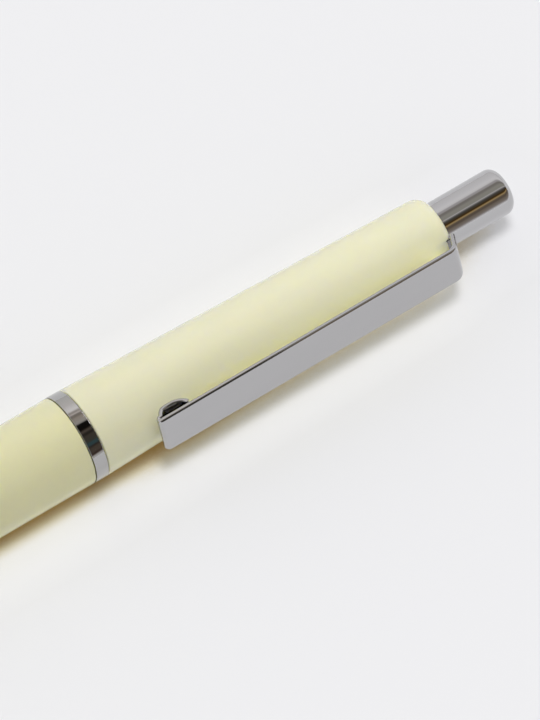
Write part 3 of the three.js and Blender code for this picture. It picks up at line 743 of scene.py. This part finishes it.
def make_floor():
    mesh = bpy.data.meshes.new("floor")
    mesh.from_pydata([(-FLOOR_HALF, -FLOOR_HALF, 0), (FLOOR_HALF, -FLOOR_HALF, 0),
                      (FLOOR_HALF, FLOOR_HALF, 0), (-FLOOR_HALF, FLOOR_HALF, 0)], [], [(0, 1, 2, 3)])
    made = add_object("floor", mesh)
    material, tree, shader = new_material("pale_floor")
    # Painted shade: the floor's colour goes darker and warmer where the pen closes off more of the sky
    closeness = add_node(tree, "ShaderNodeAmbientOcclusion", samples=PAINTED_SHADE_SAMPLES)
    closeness.inputs["Distance"].default_value = PAINTED_SHADE_REACH * MM
    painted_shade_ramp = add_node(tree, "ShaderNodeValToRGB")
    set_stops(painted_shade_ramp, [(openness, [WHITE * part for part in tint]) for openness, tint in PAINTED_SHADE_TINTS])
    tree.links.new(closeness.outputs["AO"], painted_shade_ramp.inputs["Fac"])
    tree.links.new(painted_shade_ramp.outputs["Color"], shader.inputs["Base Color"])
    shader.inputs["Roughness"].default_value = 1
    shader.inputs["Specular IOR Level"].default_value = 0
    mesh.materials.append(material)
    return made


floor = make_floor()

# Rooms that only the bright surfaces see: arcs round the pen, each with its colours by direction, in
# degrees from the -Y horizon over the top to the +Y horizon

ROOM_RADIUS = 0.16
ROOM_STEP = 1
FRONT_SPAN = (-0.25, 0.078)
REAR_SPAN = (0.0782, 0.7)
FRONT_ROOM = (
    (0, (0.76, 0.74, 0.73)), (3, (0.66, 0.64, 0.62)), (6, (0.42, 0.39, 0.37)),
    (8, (0.10, 0.07, 0.055)), (11, (0.065, 0.045, 0.035)), (15, (0.11, 0.085, 0.068)),
    (24, (0.10, 0.08, 0.06)), (29, (0.045, 0.034, 0.028)), (32, (0.055, 0.09, 0.095)),
    (37, (0.052, 0.10, 0.11)), (41, (0.07, 0.07, 0.055)), (55, (0.08, 0.067, 0.052)),
    (59, (0.038, 0.033, 0.025)), (62, (0.045, 0.037, 0.03)), (67, (0.13, 0.105, 0.085)),
    (71, (0.04, 0.03, 0.022)), (73, (0.01, 0.008, 0.007)), (86, (0.010, 0.009, 0.008)),
    (89, (0.42, 0.40, 0.37)), (92, (0.51, 0.48, 0.44)), (103, (0.49, 0.43, 0.37)),
    (108, (0.32, 0.28, 0.24)), (112, (0.35, 0.31, 0.28)), (115, (0.82, 0.76, 0.71)),
    (118, (0.54, 0.48, 0.45)), (121, (0.56, 0.52, 0.48)), (124, (1.0, 0.96, 0.94)),
    (127, (1.13, 1.10, 1.09)), (135, (1.02, 0.99, 0.98)), (145, (0.86, 0.83, 0.81)),
    (178, (0.72, 0.72, 0.70)))
REAR_ROOM = (
    (4, (0.74, 0.72, 0.72)), (8, (0.46, 0.43, 0.42)), (13, (0.31, 0.27, 0.24)),
    (23, (0.24, 0.20, 0.16)), (30, (0.155, 0.122, 0.098)), (37, (0.18, 0.14, 0.095)),
    (43, (0.52, 0.37, 0.18)), (46, (0.30, 0.19, 0.07)), (49, (0.07, 0.036, 0.008)),
    (60, (0.09, 0.08, 0.062)), (64, (0.14, 0.13, 0.125)), (68, (0.34, 0.33, 0.32)),
    (71, (0.66, 0.64, 0.61)), (74, (0.42, 0.41, 0.38)), (77, (0.39, 0.375, 0.33)),
    (88, (0.385, 0.37, 0.325)), (98, (0.28, 0.26, 0.235)), (103, (0.30, 0.28, 0.255)),
    (107, (0.50, 0.47, 0.465)), (114, (0.54, 0.52, 0.52)), (119, (0.88, 0.86, 0.86)),
    (128, (0.95, 0.94, 0.94)), (142, (0.88, 0.87, 0.88)), (178, (0.78, 0.77, 0.77)))


def make_room(name, x_span, colours):
    """An arc of light. Its ramp takes a place along the arc's directions, from 0 to 1."""
    first, last = colours[0][0], colours[-1][0]
    steps = (last - first) // ROOM_STEP
    points = []
    places = []
    for i in range(steps + 1):
        angle = math.radians(first + (last - first) * i / steps)
        for x in x_span:
            points.append((x, AXIS_Y * MM - ROOM_RADIUS * math.cos(angle),
                           AXIS_Z * MM + ROOM_RADIUS * math.sin(angle)))
            places.append(i / steps)
    mesh = bpy.data.meshes.new(name)
    mesh.from_pydata(points, [], [(2 * i, 2 * i + 1, 2 * i + 3, 2 * i + 2) for i in range(steps)])
    mesh.attributes.new("place", "FLOAT", "POINT").data.foreach_set("value", places)
    room = add_object(name, mesh)
    material = bpy.data.materials.new(name)
    material.use_nodes = True
    tree = material.node_tree
    tree.nodes.clear()
    place = add_node(tree, "ShaderNodeAttribute", attribute_name="place")
    ramp = add_node(tree, "ShaderNodeValToRGB")
    set_stops(ramp, [((direction - first) / (last - first), colour) for direction, colour in colours])
    glow = add_node(tree, "ShaderNodeEmission")
    leave = add_node(tree, "ShaderNodeOutputMaterial")
    tree.links.new(place.outputs["Fac"], ramp.inputs["Fac"])
    tree.links.new(ramp.outputs["Color"], glow.inputs["Color"])
    tree.links.new(glow.outputs["Emission"], leave.inputs["Surface"])
    mesh.materials.append(material)
    room.visible_camera = False
    room.visible_diffuse = False
    room.visible_transmission = False
    room.visible_volume_scatter = False
    room.visible_shadow = False


make_room("front_room", FRONT_SPAN, FRONT_ROOM)
make_room("rear_room", REAR_SPAN, REAR_ROOM)

# World: the pale background for the camera, bright surfaces and clear ones

FILL = 0.02
FILL_COLOUR = (1.0, 0.98, 0.95)


def make_world():
    world = bpy.data.worlds.new("studio")
    bpy.context.scene.world = world
    world.use_nodes = True
    tree = world.node_tree
    tree.nodes.clear()
    rays = add_node(tree, "ShaderNodeLightPath")
    camera_or_glossy = add_node(tree, "ShaderNodeMath", operation="MAXIMUM")
    or_through = add_node(tree, "ShaderNodeMath", operation="MAXIMUM")
    fill = add_node(tree, "ShaderNodeBackground")
    fill.inputs["Color"].default_value = (*FILL_COLOUR, 1)
    fill.inputs["Strength"].default_value = FILL
    backdrop = add_node(tree, "ShaderNodeBackground")
    backdrop.inputs["Color"].default_value = (WHITE, WHITE, WHITE, 1)
    mix = add_node(tree, "ShaderNodeMixShader")
    leave = add_node(tree, "ShaderNodeOutputWorld")
    link = tree.links.new
    link(rays.outputs["Is Camera Ray"], camera_or_glossy.inputs[0])
    link(rays.outputs["Is Glossy Ray"], camera_or_glossy.inputs[1])
    link(camera_or_glossy.outputs["Value"], or_through.inputs[0])
    link(rays.outputs["Is Transmission Ray"], or_through.inputs[1])
    link(or_through.outputs["Value"], mix.inputs["Fac"])
    link(fill.outputs["Background"], mix.inputs[1])
    link(backdrop.outputs["Background"], mix.inputs[2])
    link(mix.outputs["Shader"], leave.inputs["Surface"])


make_world()

# Lamps: (name, degrees that it leans toward +Y and toward +X, disc in degrees, light on a surface
# that faces it, colour, whether it is the floor's lamp or the pen's)

LAMPS = (
    ("top", 7, 10, 75, 0.69, (1.0, 1.0, 1.08), False),
    ("sky", 0, 0, 178, 0.10, (1.0, 1.0, 1.0), False),
    ("side", 60, 0, 60, 0.09, (1.0, 1.0, 1.08), False),
    ("floor_key", -6.5, 0, 16, 0.35, (1.0, 1.0, 1.02), True),
    ("floor_sky", 0, 0, 178, 0.65, (1.0, 1.0, 1.02), True),
)


def make_linking(name, link_state, thing):
    """A collection that keeps a lamp's light, or the shadows in it, to one thing or off it."""
    linking = bpy.data.collections.new(name)
    linking.objects.link(thing)
    for member in linking.collection_objects:
        member.light_linking.link_state = link_state
    return linking


floor_only = make_linking("floor_only", "INCLUDE", floor)
pen_only = make_linking("all_but_floor", "EXCLUDE", floor)
upper_only = make_linking("upper_barrel_only", "INCLUDE", upper_skin)
ring_only = make_linking("ring_only", "INCLUDE", ring_skin)
all_but_clip = make_linking("all_but_clip", "EXCLUDE", clip_skin)


def turn_back_to(thing, back):
    """Turns a lamp or a camera so that it looks away from a direction."""
    thing.rotation_mode = "QUATERNION"
    thing.rotation_quaternion = back.to_track_quat("Z", "Y")


def make_lamp(name, lean_y, lean_x, disc, level, colour, for_floor):
    lamp = bpy.data.lights.new(name, "SUN")
    lamp.energy = level * math.pi
    lamp.angle = math.radians(disc)
    lamp.color = colour
    light = add_object(name, lamp)
    turn_back_to(light, Vector((math.tan(math.radians(lean_x)), math.tan(math.radians(lean_y)), 1)))
    light.visible_glossy = False
    light.light_linking.receiver_collection = floor_only if for_floor else pen_only
    # The bright clip throws about as much light on the barrel as it takes away
    if not for_floor:
        light.light_linking.blocker_collection = all_but_clip


for lamp_row in LAMPS:
    make_lamp(*lamp_row)


def make_panel(name, x, way, off, facing, size, level, colour, receivers):
    """A panel of light: its place along the axis and off it along a way, and its size, all in mm,
    the way that it faces and the light that leaves it."""
    lamp = bpy.data.lights.new(name, "AREA")
    lamp.shape = "RECTANGLE"
    lamp.size = size[0] * MM
    lamp.size_y = size[1] * MM
    lamp.energy = level * math.pi * lamp.size * lamp.size_y
    lamp.color = colour
    light = add_object(name, lamp)
    light.location = (Vector((x, AXIS_Y, AXIS_Z)) + way * off) * MM
    light.rotation_mode = "QUATERNION"
    light.rotation_quaternion = facing.to_track_quat("-Z", "Y")
    light.visible_camera = False
    light.visible_glossy = False
    light.light_linking.receiver_collection = receivers
    return light


# A panel over the pen's rear, which is the lighter end
REAR_PANEL_RISE = math.radians(62)
REAR_PANEL_WAY = Vector((0, -math.cos(REAR_PANEL_RISE), math.sin(REAR_PANEL_RISE)))
make_panel("rear_panel", x=62, way=REAR_PANEL_WAY, off=65, facing=-REAR_PANEL_WAY, size=(50, 50),
           level=0.9, colour=(0.94, 0.97, 1.15), receivers=pen_only)

# Light that the clip's inner face throws on the barrel, from a little under that face
FACE_GAP = 0.05
clip_out = Vector((0, *CLIP_WAY))
make_panel("clip_glow", x=39, way=clip_out, off=CLIP_HEIGHT - CLIP_THICKNESS - FACE_GAP,
           facing=-clip_out, size=(36, 3.8), level=0.19, colour=(1.0, 0.98, 0.10),
           receivers=upper_only)
make_panel("root_glow", x=56.4, way=clip_out, off=5.6, facing=Vector((-1, 0, 0)) - clip_out,
           size=(2.2, 3.2), level=0.5, colour=(1.0, 1.0, 0.70), receivers=upper_only)

# A bright window that shows in the ring's rounded rim
WINDOW_WAY = Vector((0.6, 0.09, 0.8))
window = make_panel("window", x=RING_REAR, way=WINDOW_WAY, off=150, facing=-WINDOW_WAY, size=(85, 24),
                    level=9, colour=(1.0, 1.0, 1.0), receivers=ring_only)
window.visible_diffuse = False
window.visible_glossy = True

# Camera at the photograph's angle

CAMERA_AZIMUTH = math.radians(-33.8)
CAMERA_ELEVATION = math.radians(60.9)
CAMERA_DISTANCE = 1.118
CAMERA_LENS = 500
CAMERA_SENSOR = 36
CAMERA_NEAR = 0.01
CAMERA_FAR = 10
AIM_RIGHT = 21.0
AIM_UP = 8.24


def make_camera():
    data = bpy.data.cameras.new("camera")
    data.lens = CAMERA_LENS
    data.sensor_width = CAMERA_SENSOR
    data.clip_start = CAMERA_NEAR
    data.clip_end = CAMERA_FAR
    camera = add_object("camera", data)
    bpy.context.scene.camera = camera
    back = Vector((math.sin(CAMERA_AZIMUTH) * math.cos(CAMERA_ELEVATION),
                   -math.cos(CAMERA_AZIMUTH) * math.cos(CAMERA_ELEVATION),
                   math.sin(CAMERA_ELEVATION)))
    right = Vector((0, 0, 1)).cross(back).normalized()
    up = back.cross(right)
    aim = Vector((RING_REAR, AXIS_Y, AXIS_Z)) + right * AIM_RIGHT + up * AIM_UP
    camera.location = aim * MM + back * CAMERA_DISTANCE
    turn_back_to(camera, back)


make_camera()

bpy.context.scene.view_settings.view_transform = "Standard"
